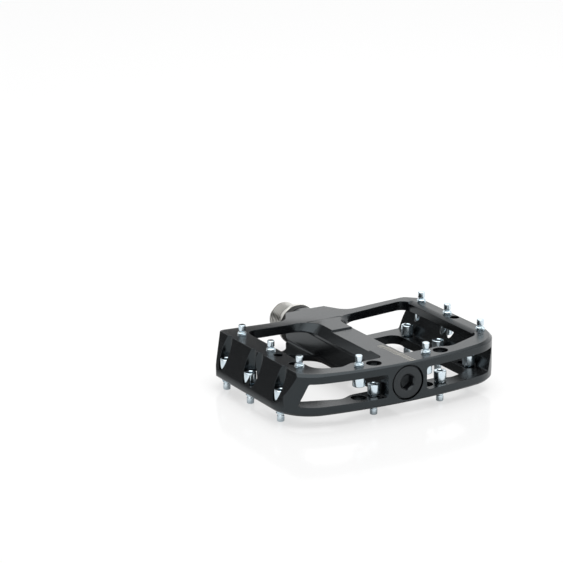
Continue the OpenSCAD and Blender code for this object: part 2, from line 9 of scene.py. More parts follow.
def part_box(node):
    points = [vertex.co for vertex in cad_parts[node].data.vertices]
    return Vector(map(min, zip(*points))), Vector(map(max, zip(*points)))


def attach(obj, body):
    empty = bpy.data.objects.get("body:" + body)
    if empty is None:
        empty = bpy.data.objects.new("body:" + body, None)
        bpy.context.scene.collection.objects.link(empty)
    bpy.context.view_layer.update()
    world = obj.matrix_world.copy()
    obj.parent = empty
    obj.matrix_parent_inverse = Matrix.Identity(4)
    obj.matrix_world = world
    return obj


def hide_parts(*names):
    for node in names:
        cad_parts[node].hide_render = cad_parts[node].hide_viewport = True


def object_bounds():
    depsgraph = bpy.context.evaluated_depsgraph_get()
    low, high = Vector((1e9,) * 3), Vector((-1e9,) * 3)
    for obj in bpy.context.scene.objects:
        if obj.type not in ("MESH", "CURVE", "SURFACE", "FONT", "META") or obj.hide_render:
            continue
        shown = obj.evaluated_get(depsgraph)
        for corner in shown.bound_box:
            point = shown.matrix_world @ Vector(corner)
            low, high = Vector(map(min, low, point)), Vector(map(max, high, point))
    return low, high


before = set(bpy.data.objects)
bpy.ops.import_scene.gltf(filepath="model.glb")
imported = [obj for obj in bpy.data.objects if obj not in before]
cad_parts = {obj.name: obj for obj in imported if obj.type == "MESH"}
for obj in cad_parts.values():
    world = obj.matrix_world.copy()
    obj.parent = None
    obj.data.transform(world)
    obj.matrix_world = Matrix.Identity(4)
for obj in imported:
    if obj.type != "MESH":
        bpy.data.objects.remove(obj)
cad_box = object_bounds()

MM = 0.001
ROUND = 96          # faces round a turned piece
PIN_ROUND = 48      # faces round a pin
MERGE_MM = 0.001    # points closer than this are one point
EASE_SHARE = 0.4    # most of a side that a rounded corner may take
FADE = 3            # how fast a thread rises at its ends, as a share of its depth in a turn

# Section of a thread: shares of the pitch and of the depth
THREAD_SECTION = ((0.1, 0), (0.35, 1), (0.65, 1), (0.9, 0))

# Camera, from the lines and pins of the photograph
IMAGE_PX = 563
FOCAL_PX = 2465.92
SENSOR_MM = 36
CAMERA_MM = Vector((907.104, -525.601, 338.262))
CAMERA_YAW = -1.05165
CAMERA_PITCH = 0.29501
CAMERA_ROLL = -0.00686
CLIP_M = (0.01, 50)

# Platform
EDGE_MM = 0.16      # width of the broken edges
EDGE_ANGLE = 32     # edges sharper than this are broken
EDGE_STEPS = 2
FLAT_ANGLE = 0.4    # faces flatter than this are joined

# Crank end of the spindle
CRANK_THREAD_R = 7.144
CRANK_PITCH = 1.27
CRANK_DEPTH = 0.686
CRANK_LEAD = 0.45   # chamfer at the start of the thread
CRANK_BREAK = 0.2   # rounding of the end's edges
NECK_MM = 1.6
FLANGE_T = 1.7
FLANGE_BREAK = 0.35
CRANK_SOCKET = 8
CRANK_SOCKET_DEPTH = 8
ROOT_SHADE_DEPTH = (0.4, 0.1)  # shares of the thread's depth where the painted shade in the thread roots is full and where it ends

# Hexagon sockets of the crank end and the end cap
SOCKET_LEAD = 0.8
SOCKET_EASE = 0.2   # step round the floor

# Inside of the spindle
COLLAR_R = 6.2
COLLAR_GAP = 0.03   # from the seal to the collar's end
COLLAR_STEP = 0.6
JOURNAL_R = 5
JOURNAL_GAP = 0.5   # from the bush to the start of the taper
TAPER_R = 3.8
SHOULDER_MM = 4     # straight length at the foot of the taper
TAIL_R = 2.98

# Dust seal
SEAL_LIP_R = 6.26
SPIGOT_R = 7.5
SPIGOT_MM = 2.2
SEAL_GROOVE = 0.3   # depth of the groove round the seal
SEAL_ROUND = 0.35

# End cap
CAP_SOCKET = 6
CAP_SOCKET_DEPTH = 4.2
CAP_DRILL = 0.6     # depth of the cone in the floor of the socket
CAP_MOUTH = 0.15    # chamfer at the mouth of the socket
CAP_BREAK = 0.25    # rounding of the cap's edges
CAP_RIM_GAP = 0.65  # width of the gap round the face
CAP_RIM_DEPTH = 1.2
CAP_SPIGOT_R = 6.63
O_RING_T = 1

# Pins
PIN_OUT = 4.7       # height of the tip above the platform
PIN_TIP_R = 1.55
PIN_TIP_ROUND = 0.45
PIN_NECK_R = 1.3
PIN_NECK_AT = (0.9, 0.55, 0.1)  # heights over the thread: end of the tip, both ends of the neck
PIN_R = 2
PIN_PITCH = 0.7
PIN_DEPTH = 0.32
PIN_THREAD_OUT = 1.3
PIN_HEAD_R = 2.65
PIN_HEAD_H = 4.5
PIN_HEAD_ROUND = 0.4
PIN_SOCKET = 2.5
PIN_SOCKET_DEPTH = 2.7
PIN_SOCKET_LEAD = (0.35, 0.25)  # width and depth of the chamfer at the mouth
PIN_SOCKET_EASE = 0.1

# Scale marks beside the end cap
MARKS = 17
MARK_PITCH = 1.55
MARK_SIZE = (0.75, 3.1)
MARK_T = 0.02
MARK_START = (66.6, 2.85)
MARK_DROP = 1       # height above the platform that the marks are laid from

# Studio, as strengths against a white of 1
AMBIENT = 0.62      # light from all round
WALL_GLOW = 1.33    # what reflections see at the height of the pedal
DARK_AHEAD = 0.3    # how far ahead of the camera's left the dark side lies
DARK_SIDE = (0.42, 0.75)    # cosines from that side where it begins and where it is full
DARK_TOP = (0.2, 0.42)      # sines of the heights where it starts to fade and where it ends
DARK_GLOW = 0.08
CEILING = (0.4, 0.55)       # sines of the heights where the walls pass into the ceiling
CEILING_GLOW = 0.45
OVERHEAD = (0.62, 0.82)     # sines of the heights where the light above begins and where it is full
OVERHEAD_GLOW = 1.8
LAMP_WATTS = 5.4
LAMP_SIZE = (0.9, 0.6)
LAMP_AT = Vector((0.05, 0.15, 0.85))
LAMP_AIM = Vector((0.05, 0, 0))

# Floor
FLOOR_M = 8
FLOOR_GLOW = 0.6    # share of its own light that the camera sees
MIRRORED_GLOW = 0.15    # the same share in reflections
UNDER = (36, 0)     # middle of the patch under the pedal where reflections see painted shade
UNDER_SIZE = (54, 47)
UNDER_EDGE = (0.8, 1.15)    # shares of that size where its edge begins and ends
UNDER_PAINTED_SHADE = 0.85

# Dark card over the nose
FLAG_FROM = (-11, -33)
FLAG_TO = (12, 6)
FLAG_Z = (15, 60)
FLAG_FADE = (88, 100)   # distances over which it fades out of a reflection


def linear(code):
    """Colour of an sRGB hex code as the shaders read it."""
    parts = [int(code[i:i + 2], 16) / 255 for i in (1, 3, 5)]
    return [c / 12.92 if c <= 0.04045 else ((c + 0.055) / 1.055) ** 2.4 for c in parts] + [1]


def add(tree, kind, links=None, **settings):
    """Adds a node with its settings, and its inputs as values or as sockets to link."""
    made = tree.nodes.new(kind)
    for name, value in settings.items():
        setattr(made, name, value)
    for key, value in (links or {}).items():
        if isinstance(value, bpy.types.NodeSocket):
            tree.links.new(value, made.inputs[key])
        else:
            made.inputs[key].default_value = value
    return made


def per_metre(mm):
    """Scale of a pattern whose features are this many millimetres apart."""
    return 1 / (mm * MM)


def surface(name, **values):
    """A new material with the values that hold all over it, and the place that its patterns read."""
    made = bpy.data.materials.new(name)
    made.use_nodes = True
    tree = made.node_tree
    shader = tree.nodes["Principled BSDF"]
    for key, value in values.items():
        shader.inputs[key.replace("_", " ")].default_value = value
    where = add(tree, "ShaderNodeTexCoord").outputs["Object"]
    return made, tree, shader, where


def vary(tree, shader, where, size_mm, rough, grain_um, colours=None, colour_mm=8):
    """Noise of a real size in a surface's roughness and relief, and a slow one in its colour."""
    grain = add(tree, "ShaderNodeTexNoise", {
        "Vector": where, "Scale": per_metre(size_mm), "Detail": 3,
    })
    spread = add(tree, "ShaderNodeMapRange", {"Value": grain.outputs[0], 3: rough[0], 4: rough[1]})
    relief = add(tree, "ShaderNodeBump", {
        "Height": grain.outputs[0], "Strength": 1, "Distance": grain_um * MM * MM,
    })
    tree.links.new(spread.outputs[0], shader.inputs["Roughness"])
    tree.links.new(relief.outputs[0], shader.inputs["Normal"])
    if colours:
        cloud = add(tree, "ShaderNodeTexNoise", {
            "Vector": where, "Scale": per_metre(colour_mm), "Detail": 4,
        })
        mix = add(tree, "ShaderNodeMix", {
            0: cloud.outputs[0], 6: linear(colours[0]), 7: linear(colours[1]),
        }, data_type="RGBA")
        tree.links.new(mix.outputs[2], shader.inputs["Base Color"])
    return relief


def about_spindle(tree, where):
    """How far a point lies along the spindle, and how far from its axis."""
    parts = add(tree, "ShaderNodeSeparateXYZ", {0: where})
    across = add(tree, "ShaderNodeCombineXYZ", {1: parts.outputs[1], 2: parts.outputs[2]})
    away = add(tree, "ShaderNodeVectorMath", {0: across.outputs[0]}, operation="LENGTH")
    return parts.outputs[0], away.outputs["Value"]


def turned_lines(tree, shader, along, relief, pitch_mm, depth_um):
    """Fine lines left by the lathe, at even steps along the spindle or away from it."""
    turn = add(tree, "ShaderNodeMath", {
        0: along, 1: 2 * math.pi * per_metre(pitch_mm),
    }, operation="MULTIPLY")
    wave = add(tree, "ShaderNodeMath", {0: turn.outputs[0]}, operation="SINE")
    lines = add(tree, "ShaderNodeBump", {
        "Height": wave.outputs[0], "Strength": 1, "Distance": depth_um * MM * MM,
        "Normal": relief.outputs[0],
    })
    tree.links.new(lines.outputs[0], shader.inputs["Normal"])


def black_anodised_aluminium():
    # Milled, bead blasted and dyed black: a hard clear oxide skin over a near black ground, with a
    # soft sheen at low angles and a fine even grain, here drawn coarser so that it shows.
    made, tree, shader, where = surface(
        "black_anodised_aluminium", Metallic=0, IOR=1.57, Specular_Tint=linear("#deedf4"),
    )
    vary(tree, shader, where, 0.35, (0.21, 0.3), 4, ("#040405", "#08080a"))
    return made


def black_anodised_turned_cap():
    # The same skin on a turned face: a shade lighter, with fine rings about the middle.
    made, tree, shader, where = surface(
        "black_anodised_turned_cap", Metallic=0, IOR=1.55, Specular_Tint=linear("#e4eff3"),
    )
    relief = vary(tree, shader, where, 0.35, (0.34, 0.44), 4, ("#0f1012", "#16171a"))
    turned_lines(tree, shader, about_spindle(tree, where)[1], relief, 0.4, 3)
    return made


def zinc_plated_steel():
    # Bright zinc with a clear blue passivation: mirror-like, faintly blue with a trace of yellow.
    made, tree, shader, where = surface("zinc_plated_steel", Metallic=1)
    vary(tree, shader, where, 0.5, (0.16, 0.28), 4, ("#c4d6e2", "#e2ebee"), 2.5)
    return made


def turned_steel():
    # Bare turned chromium steel, lightly oiled: satin and silvery, with fine lathe lines, and painted
    # shade that darkens the bottom of the crank thread.
    made, tree, shader, where = surface("turned_steel", Metallic=1)
    relief = vary(tree, shader, where, 0.4, (0.2, 0.32), 3, ("#d2d2ce", "#e2e1dc"), 4)
    along, away = about_spindle(tree, where)
    turned_lines(tree, shader, along, relief, 0.3, 3)
    # Painted shade: the base colour darkens towards the roots of the crank thread, up to the neck.
    full_shade_r, shade_end_r = [(CRANK_THREAD_R - share * CRANK_DEPTH) * MM for share in ROOT_SHADE_DEPTH]
    crest = add(tree, "ShaderNodeMapRange", {"Value": away, 1: full_shade_r, 2: shade_end_r})
    past = add(tree, "ShaderNodeMapRange", {"Value": along, 1: -NECK_MM * MM, 2: 0})
    unshaded = add(tree, "ShaderNodeMath", {
        0: crest.outputs[0], 1: past.outputs[0],
    }, operation="MAXIMUM")
    bare = shader.inputs["Base Color"].links[0].from_socket
    root_shaded = add(tree, "ShaderNodeMix", {
        0: unshaded.outputs[0], 6: linear("#34332f"), 7: bare,
    }, data_type="RGBA")
    tree.links.new(root_shaded.outputs[2], shader.inputs["Base Color"])
    return made


def nitrile_rubber():
    # Moulded nitrile: deep black, matt, with a faint bloom.
    made, tree, shader, where = surface("nitrile_rubber", Metallic=0, IOR=1.52)
    vary(tree, shader, where, 0.3, (0.5, 0.68), 8, ("#040404", "#090909"), 5)
    return made


def bearing_polymer():
    # Filled acetal: grey, waxy, slightly mottled by its filler.
    made, tree, shader, where = surface("bearing_polymer", Metallic=0, IOR=1.48)
    vary(tree, shader, where, 0.25, (0.4, 0.55), 5, ("#4a4946", "#5a5955"), 1.5)
    return made


def ground_bearing_steel():
    # Hardened and ground: almost a mirror, with a trace of grinding grain.
    made, tree, shader, where = surface("ground_bearing_steel", Metallic=1)
    vary(tree, shader, where, 0.2, (0.08, 0.16), 1, ("#cfd0d1", "#dadada"), 3)
    return made


def pressed_brass():
    # Pressed sheet brass: warm yellow, softly bright.
    made, tree, shader, where = surface("pressed_brass", Metallic=1)
    vary(tree, shader, where, 0.3, (0.22, 0.34), 3, ("#c2a15a", "#d6b66e"), 2)
    return made


def etched_mark():
    # The dye burnt off by a laser: pale grey, matt and slightly uneven.
    made, tree, shader, where = surface("etched_mark", Metallic=0, IOR=1.5)
    vary(tree, shader, where, 0.2, (0.5, 0.65), 3, ("#85837c", "#9a9891"), 0.8)
    return made


def white_gloss_floor():
    # Polished white acrylic lit from below: even white with a clear, soft reflection and a light
    # shadow. Under the pedal, reflections see a painted shade in place of the floor.
    made, tree, shader, where = surface("white_gloss_floor", Metallic=0, IOR=1.4)
    vary(tree, shader, where, 30, (0.1, 0.14), 0, ("#f4f4f4", "#f6f6f6"), 200)
    size = Vector((*UNDER_SIZE, FLOOR_M / MM)) * MM
    off = add(tree, "ShaderNodeVectorMath", {
        0: where, 1: Vector((*UNDER, 0)) * MM,
    }, operation="SUBTRACT")
    share_of = add(tree, "ShaderNodeVectorMath", {0: off.outputs[0], 1: size}, operation="DIVIDE")
    reach = add(tree, "ShaderNodeVectorMath", {0: share_of.outputs[0]}, operation="LENGTH")
    under = add(tree, "ShaderNodeMapRange", {
        "Value": reach.outputs["Value"], 1: UNDER_EDGE[0], 2: UNDER_EDGE[1], 3: UNDER_PAINTED_SHADE, 4: 0,
    })
    path = add(tree, "ShaderNodeLightPath").outputs
    clear = add(tree, "ShaderNodeMath", {
        0: path["Is Camera Ray"], 1: path["Is Transmission Ray"],
    }, operation="MAXIMUM")
    mirrored = add(tree, "ShaderNodeMath", {
        0: path["Is Glossy Ray"], 1: MIRRORED_GLOW,
    }, operation="MULTIPLY")
    share = add(tree, "ShaderNodeMath", {
        0: clear.outputs[0], 1: FLOOR_GLOW, 2: mirrored.outputs[0],
    }, operation="MULTIPLY_ADD")
    glow = add(tree, "ShaderNodeEmission", {"Strength": 1})
    both = add(tree, "ShaderNodeMixShader", {
        0: share.outputs[0], 1: shader.outputs[0], 2: glow.outputs[0],
    })
    # Painted shade: glossy rays see the floor black in the patch under the pedal.
    shade_share = add(tree, "ShaderNodeMath", {
        0: under.outputs[0], 1: path["Is Glossy Ray"],
    }, operation="MULTIPLY")
    painted_shade = add(tree, "ShaderNodeEmission", {"Strength": 0})
    seen = add(tree, "ShaderNodeMixShader", {
        0: shade_share.outputs[0], 1: both.outputs[0], 2: painted_shade.outputs[0],
    })
    tree.links.new(seen.outputs[0], tree.nodes["Material Output"].inputs["Surface"])
    return made


def new_object(name, mesh):
    """An object in the scene that holds this mesh, lamp or camera."""
    made = bpy.data.objects.new(name, mesh)
    bpy.context.scene.collection.objects.link(made)
    return made


def shade(mesh, angle=EDGE_ANGLE):
    """Smooth shading that breaks at the sharp edges."""
    mesh.polygons.foreach_set("use_smooth", [True] * len(mesh.polygons))
    mesh.set_sharp_from_angle(angle=math.radians(angle))


def ring(r, at, count=ROUND):
    """A circle of (radius, place) points."""
    return [(r, at)] * count


def hexagon_ring(flats, at, count=ROUND):
    """A hexagon of (radius, place) points, given across its flats."""
    sixth = math.pi / 3
    turns = [2 * math.pi * i / count for i in range(count)]
    return [(flats / 2 / math.cos((turn + sixth / 2) % sixth - sixth / 2), at) for turn in turns]


def thread_rings(crest, root, start, end, pitch, count=ROUND):
    """Rings of a thread that climb as a helix and fade out at both ends."""
    rings = []
    for turn in range(-1, math.ceil((end - start) / pitch) + 1):
        for phase, height in THREAD_SECTION:
            row = []
            for i in range(count):
                at = start + pitch * (turn + phase + i / count)
                fade = min(1, max(0, FADE * min(at - start, end - at) / pitch))
                row.append((root + (crest - root) * height * fade, min(max(at, start), end)))
            rings.append(row)
    return rings


def eased(profile, radius, steps=3):
    """A profile of (radius, place) points whose inner corners are rounded, less where it is short."""
    points = [Vector(p) for p in profile]
    made = [profile[0]]
    for before, here, after in zip(points, points[1:], points[2:]):
        a, b = before - here, after - here
        reach = min(radius, EASE_SHARE * a.length, EASE_SHARE * b.length)
        first, last = here + a.normalized() * reach, here + b.normalized() * reach
        for i in range(steps + 1):
            t = i / steps
            made.append(tuple((1 - t) ** 2 * first + 2 * t * (1 - t) * here + t * t * last))
    return made + [profile[-1]]


def rings_of(profile, count=ROUND):
    """A circle for each point of a profile."""
    return [ring(r, at, count) for r, at in profile]


def lathe(name, rings, along_x=True):
    """A closed skin over rings of (radius, place) points about the spindle or about Z."""
    count = len(rings[0])
    skin = bmesh.new()
    rows = []
    for row in rings:
        made = []
        for i, (r, at) in enumerate(row):
            turn = 2 * math.pi * i / count
            y, z = r * math.cos(turn), r * math.sin(turn)
            made.append(skin.verts.new(Vector((at, y, z) if along_x else (y, z, at)) * MM))
        rows.append(made)
    for low, high in zip(rows, rows[1:]):
        for i in range(count):
            skin.faces.new((low[i - 1], low[i], high[i], high[i - 1]))
    bmesh.ops.remove_doubles(skin, verts=skin.verts, dist=MERGE_MM * MM)
    bmesh.ops.recalc_face_normals(skin, faces=skin.faces)
    mesh = bpy.data.meshes.new(name)
    skin.to_mesh(mesh)
    skin.free()
    shade(mesh)
    return mesh


def node_box(node):
    """Lowest and highest corner of a node in millimetres."""
    low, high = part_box(node)
    return Vector(low) / MM, Vector(high) / MM


def solid_boxes(node):
    """Box of each separate solid of a node, in millimetres, in order along the spindle."""
    work = bmesh.new()
    work.from_mesh(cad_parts[node].data)
    bmesh.ops.remove_doubles(work, verts=work.verts, dist=MERGE_MM * MM)
    left = set(work.verts)
    boxes = []
    while left:
        group, edge = set(), [left.pop()]
        while edge:
            vert = edge.pop()
            group.add(vert)
            near = {e.other_vert(vert) for e in vert.link_edges} & left
            left -= near
            edge.extend(near)
        low = Vector(min(v.co[i] for v in group) for i in range(3)) / MM
        high = Vector(max(v.co[i] for v in group) for i in range(3)) / MM
        boxes.append((low, high))
    work.free()
    return sorted(boxes, key=lambda box: (round(box[0].x, 2), box[0].y))


def applied(piece):
    """The mesh of a piece with its modifiers worked in."""
    ready = piece.evaluated_get(bpy.context.evaluated_depsgraph_get())
    return bpy.data.meshes.new_from_object(ready)


def finished(piece, body, slot, material, *nodes):
    """Gives a piece its material and body, in place of the nodes that it stands for. The slot, its
    finish's name, is not used.
    """
    piece.data.materials.clear()
    piece.data.materials.append(material)
    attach(piece, body)
    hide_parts(*nodes)


def platform_piece(material):
    """The milled platform with its sharp edges broken."""
    work = bmesh.new()
    work.from_mesh(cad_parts["platform_body"].data)
    bmesh.ops.remove_doubles(work, verts=work.verts, dist=MERGE_MM * MM)
    bmesh.ops.dissolve_limit(
        work, angle_limit=math.radians(FLAT_ANGLE), verts=work.verts, edges=work.edges,
    )
    mesh = bpy.data.meshes.new("platform")
    work.to_mesh(mesh)
    work.free()
    mesh.polygons.foreach_set("use_smooth", [True] * len(mesh.polygons))
    piece = new_object("platform", mesh)
    edges = piece.modifiers.new("broken_edges", "BEVEL")
    edges.width = EDGE_MM * MM
    edges.segments = EDGE_STEPS
    edges.limit_method = "ANGLE"
    edges.angle_limit = math.radians(EDGE_ANGLE)
    edges.use_clamp_overlap = False
    edges.miter_outer = "MITER_ARC"
    flats = piece.modifiers.new("flat_faces", "WEIGHTED_NORMAL")
    flats.keep_sharp = True
    made = applied(piece)
    piece.modifiers.clear()
    piece.data = made
    finished(piece, "platform", "black_anodised_body", material, "platform_body")
    return piece


def spindle_piece(material):
    """The axle: socket, crank thread, neck, flange, collar, journal, taper and tail."""
    low, high = node_box("spindle")
    start, root = low.x, CRANK_THREAD_R - CRANK_DEPTH
    flange_r, tail = high.y, high.x
    front = eased([
        (CRANK_SOCKET / 2 + SOCKET_LEAD, start), (root - CRANK_LEAD / 2, start),
        (root, start + CRANK_LEAD),
    ], CRANK_BREAK)
    collar = node_box("dust_seal")[1].x + COLLAR_GAP
    journal = node_box("plain_bush")[1].x + JOURNAL_GAP
    race = node_box("inboard_bearing_inner_race")[0].x
    back = eased([
        (root, -NECK_MM), (root, 0), (flange_r, 0), (flange_r, FLANGE_T),
        (COLLAR_R, FLANGE_T), (COLLAR_R, collar - COLLAR_STEP),
        (JOURNAL_R, collar), (JOURNAL_R, journal), (TAPER_R, race - SHOULDER_MM), (TAPER_R, race),
        (TAIL_R, race), (TAIL_R, tail), (0, tail),
    ], FLANGE_BREAK)
    depth = start + CRANK_SOCKET_DEPTH
    rings = [
        ring(0, depth), hexagon_ring(CRANK_SOCKET - 2 * SOCKET_EASE, depth),
        hexagon_ring(CRANK_SOCKET, depth - SOCKET_EASE),
        hexagon_ring(CRANK_SOCKET, start + SOCKET_LEAD),
    ]
    rings += rings_of(front)
    rings += thread_rings(CRANK_THREAD_R, root, start + CRANK_LEAD, -NECK_MM, CRANK_PITCH)
    rings += rings_of(back)
    piece = new_object("spindle_axle", lathe("spindle_axle", rings))
    finished(piece, "spindle", "spindle_steel", material, "spindle")


def dust_seal_piece(material):
    """The ring behind the flange, with a groove round it and a spigot in the nose."""
    low, high = node_box("dust_seal")
    r, start, end = high.y, low.x, high.x
    face = end - SPIGOT_MM
    middle = (start + face) / 2
    rings = rings_of(eased([
        (SEAL_LIP_R, start), (r, start), (r, middle - SEAL_GROOVE), (r - SEAL_GROOVE, middle),
        (r, middle + SEAL_GROOVE), (r, face), (SPIGOT_R, face), (SPIGOT_R, end), (SEAL_LIP_R, end),
        (SEAL_LIP_R, start),
    ], SEAL_ROUND))
    piece = new_object("seal_ring", lathe("seal_ring", rings))
    finished(piece, "platform", "seal_rubber", material, "dust_seal")


def end_cap_piece(material):
    """The plug with its rim gap and its hexagon socket."""
    low, high = node_box("end_cap")
    r, start, end = high.y, low.x, high.x
    back = start + O_RING_T
    floor = end - CAP_SOCKET_DEPTH
    face = r - CAP_RIM_GAP
    mouth = CAP_SOCKET / 2 + SOCKET_LEAD
    rings = rings_of(eased([
        (0, start), (CAP_SPIGOT_R, start), (CAP_SPIGOT_R, back), (r, back), (r, end - CAP_RIM_DEPTH),
        (face, end - CAP_RIM_DEPTH), (face, end), (mouth, end), (mouth - CAP_MOUTH, end - CAP_MOUTH),
    ], CAP_BREAK))
    rings += [
        hexagon_ring(CAP_SOCKET, end - SOCKET_LEAD), hexagon_ring(CAP_SOCKET, floor + SOCKET_EASE),
        hexagon_ring(CAP_SOCKET - 2 * SOCKET_EASE, floor), ring(0, floor - CAP_DRILL),
    ]
    piece = new_object("end_plug", lathe("end_plug", rings))
    finished(piece, "platform", "black_anodised_cap", material, "end_cap")


def pin_mesh(name, length):
    """A traction pin that stands up with its tip at zero: barrel, neck, thread and socket head."""
    foot = -length
    neck = -(PIN_OUT - PIN_THREAD_OUT)
    head = foot + PIN_HEAD_H
    socket = foot + PIN_SOCKET_DEPTH
    tip_end, neck_top, neck_foot = [neck + rise for rise in PIN_NECK_AT]
    root = PIN_R - PIN_DEPTH
    lead_w, lead_h = PIN_SOCKET_LEAD
    tip = eased([
        (0, 0), (PIN_TIP_R, 0), (PIN_TIP_R, tip_end), (PIN_NECK_R, neck_top), (PIN_NECK_R, neck_foot),
        (root, neck),
    ], PIN_TIP_ROUND, 5)
    under = eased([
        (root, head), (PIN_HEAD_R, head), (PIN_HEAD_R, foot), (PIN_SOCKET / 2 + lead_w, foot),
    ], PIN_HEAD_ROUND, 4)
    climb = thread_rings(PIN_R, root, head, neck, PIN_PITCH, PIN_ROUND)
    rings = rings_of(tip, PIN_ROUND) + climb[::-1] + rings_of(under, PIN_ROUND)
    rings += [
        hexagon_ring(PIN_SOCKET, foot + lead_h, PIN_ROUND),
        hexagon_ring(PIN_SOCKET, socket - PIN_SOCKET_EASE, PIN_ROUND),
        hexagon_ring(PIN_SOCKET - 2 * PIN_SOCKET_EASE, socket, PIN_ROUND), ring(0, socket, PIN_ROUND),
    ]
    return lathe(name, rings, along_x=False)


def new_tree(name, inputs):
    """An empty geometry tree with named inputs, each given as its kind of socket."""
    tree = bpy.data.node_groups.new(name, "GeometryNodeTree")
    tree.interface.new_socket("Geometry", in_out="INPUT", socket_type="NodeSocketGeometry")
    tree.interface.new_socket("Geometry", in_out="OUTPUT", socket_type="NodeSocketGeometry")
    sockets = {key: tree.interface.new_socket(key, in_out="INPUT", socket_type=kind).identifier
               for key, kind in inputs.items()}
    return tree, sockets, add(tree, "NodeGroupInput").outputs


def grow(name, mesh, tree, sockets, values):
    """Runs a tree on a mesh with these input values and keeps the result as a plain object."""
    host = new_object(name + "_host", mesh)
    nodes = host.modifiers.new(tree.name, "NODES")
    nodes.node_group = tree
    for key, value in values.items():
        nodes[sockets[key]] = value
    made = applied(host)
    made.name = name
    bpy.data.objects.remove(host)
    return new_object(name, made)


def pin_row_tree():
    """Sets a pin on each point, screwed home at its own angle, and turns the row about the spindle."""
    tree, sockets, given = new_tree("pin_row", {
        "Pin": "NodeSocketObject", "Seed": "NodeSocketInt", "Turn": "NodeSocketRotation",
        "Finish": "NodeSocketMaterial",
    })
    pin = add(tree, "GeometryNodeObjectInfo", {"Object": given["Pin"]})
    angle = add(tree, "FunctionNodeRandomValue", {
        1: (0, 0, 2 * math.pi), "Seed": given["Seed"],
    }, data_type="FLOAT_VECTOR")
    row = add(tree, "GeometryNodeInstanceOnPoints", {
        "Points": given["Geometry"], "Instance": pin.outputs["Geometry"], "Rotation": angle.outputs[0],
    })
    turned = add(tree, "GeometryNodeTransform", {
        "Geometry": row.outputs[0], "Rotation": given["Turn"],
    })
    real = add(tree, "GeometryNodeRealizeInstances", {"Geometry": turned.outputs[0]})
    dressed = add(tree, "GeometryNodeSetMaterial", {
        "Geometry": real.outputs[0], "Material": given["Finish"],
    })
    add(tree, "NodeGroupOutput", {"Geometry": dressed.outputs[0]})
    return tree, sockets


def pin_pieces(material):
    """The sixteen traction pins, a piece for each row and side."""
    tree, sockets = pin_row_tree()
    for number, row in enumerate(("ramp", "lip", "arch")):
        boxes = solid_boxes(row + "_pins_upper")
        tips = [((low.x + high.x) / 2, (low.y + high.y) / 2, high.z) for low, high in boxes]
        length = boxes[0][1].z - boxes[0][0].z
        pin = new_object(row + "_pin", pin_mesh(row + "_pin", length))
        for side, turn in (("upper", 0), ("lower", math.pi)):
            places = bpy.data.meshes.new(row + "_places")
            places.from_pydata([Vector(tip) * MM for tip in tips], [], [])
            name = row + "_traction_pins_" + side
            piece = grow(name, places, tree, sockets, {
                "Pin": pin, "Seed": 2 * number + (turn > 0), "Turn": (turn, 0, 0),
                "Finish": material,
            })
            shade(piece.data)
            finished(piece, "platform", "zinc_plated_pins", material, row + "_pins_" + side)
        bpy.data.objects.remove(pin)


def mark_tree():
    """A row of flat marks laid on the surface below them, on both faces of the platform."""
    tree, sockets, given = new_tree("scale_marks", {
        "Marks": "NodeSocketInt", "Start": "NodeSocketVector", "Pitch": "NodeSocketVector",
        "Size": "NodeSocketVector", "Platform": "NodeSocketObject", "Half turn": "NodeSocketRotation",
        "Finish": "NodeSocketMaterial",
    })
    line = add(tree, "GeometryNodeMeshLine", {
        "Count": given["Marks"], "Start Location": given["Start"], "Offset": given["Pitch"],
    })
    platform = add(tree, "GeometryNodeObjectInfo", {"Object": given["Platform"]})
    fall = add(tree, "GeometryNodeRaycast", {
        "Target Geometry": platform.outputs["Geometry"], "Ray Direction": (0, 0, -1),
    })
    laid = add(tree, "GeometryNodeSetPosition", {
        "Geometry": line.outputs[0], "Position": fall.outputs["Hit Position"],
    })
    mark = add(tree, "GeometryNodeMeshCube", {"Size": given["Size"]})
    row = add(tree, "GeometryNodeInstanceOnPoints", {
        "Points": laid.outputs[0], "Instance": mark.outputs["Mesh"],
    })
    turned = add(tree, "GeometryNodeTransform", {
        "Geometry": row.outputs[0], "Rotation": given["Half turn"],
    })
    both = add(tree, "GeometryNodeJoinGeometry", {0: row.outputs[0]})
    tree.links.new(turned.outputs[0], both.inputs[0])
    real = add(tree, "GeometryNodeRealizeInstances", {"Geometry": both.outputs[0]})
    dressed = add(tree, "GeometryNodeSetMaterial", {
        "Geometry": real.outputs[0], "Material": given["Finish"],
    })
    add(tree, "NodeGroupOutput", {"Geometry": dressed.outputs[0]})
    return tree, sockets


def mark_pieces(platform, material):
    """The row of plain bars on the spine, on both faces."""
    tree, sockets = mark_tree()
    above = node_box("platform_body")[1].z + MARK_DROP
    piece = grow("scale_marks", bpy.data.meshes.new("marks"), tree, sockets, {
        "Marks": MARKS, "Start": Vector((*MARK_START, above)) * MM,
        "Pitch": (MARK_PITCH * MM, 0, 0), "Size": Vector((*MARK_SIZE, MARK_T)) * MM,
        "Platform": platform, "Half turn": (math.pi, 0, 0), "Finish": material,
    })
    piece.data.materials.clear()
    piece.data.materials.append(material)
    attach(piece, "platform")


def dress_inner_nodes(finishes):
    """Materials of the pieces that only show when the pedal is taken apart."""
    for node, material in finishes.items():
        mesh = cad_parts[node].data
        mesh.materials.clear()
        mesh.materials.append(material)


